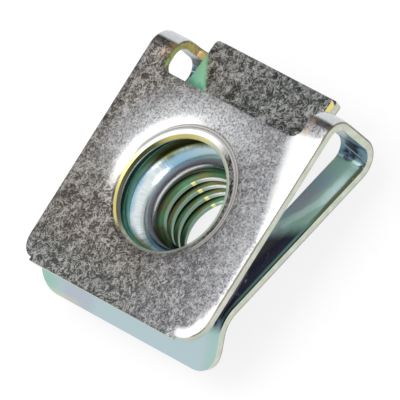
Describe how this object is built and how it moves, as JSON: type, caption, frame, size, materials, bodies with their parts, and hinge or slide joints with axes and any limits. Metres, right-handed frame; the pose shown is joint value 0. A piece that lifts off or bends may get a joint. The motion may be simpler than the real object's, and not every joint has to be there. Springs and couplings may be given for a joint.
{
  "type": "u clip speed nut",
  "caption": "Folded spring-steel clip nut with a drawn threaded barrel on its inner tongue, a loose backing plate, a round clearance hole and a flared entry lip.",
  "frame": {"origin": "on the axis of the threaded barrel, in the plane of the barrel's end rim, which is what the part stands on", "axes": "+Z along the barrel's axis, out through the plate and the hole in the front leaf; +Y towards the folded bend; X across the width"},
  "size_m": [0.02, 0.024, 0.0104],
  "materials": {
    "plated_spring_steel": "zinc plated with a clear iridescent passivation, finely scratched",
    "plated_plate_steel": "zinc plated with a clear iridescent passivation, finely scratched"
  },
  "bodies": {
    "root": {"spring_clip": "plated_spring_steel", "backing_plate": "plated_plate_steel"}
  },
  "joints": []
}
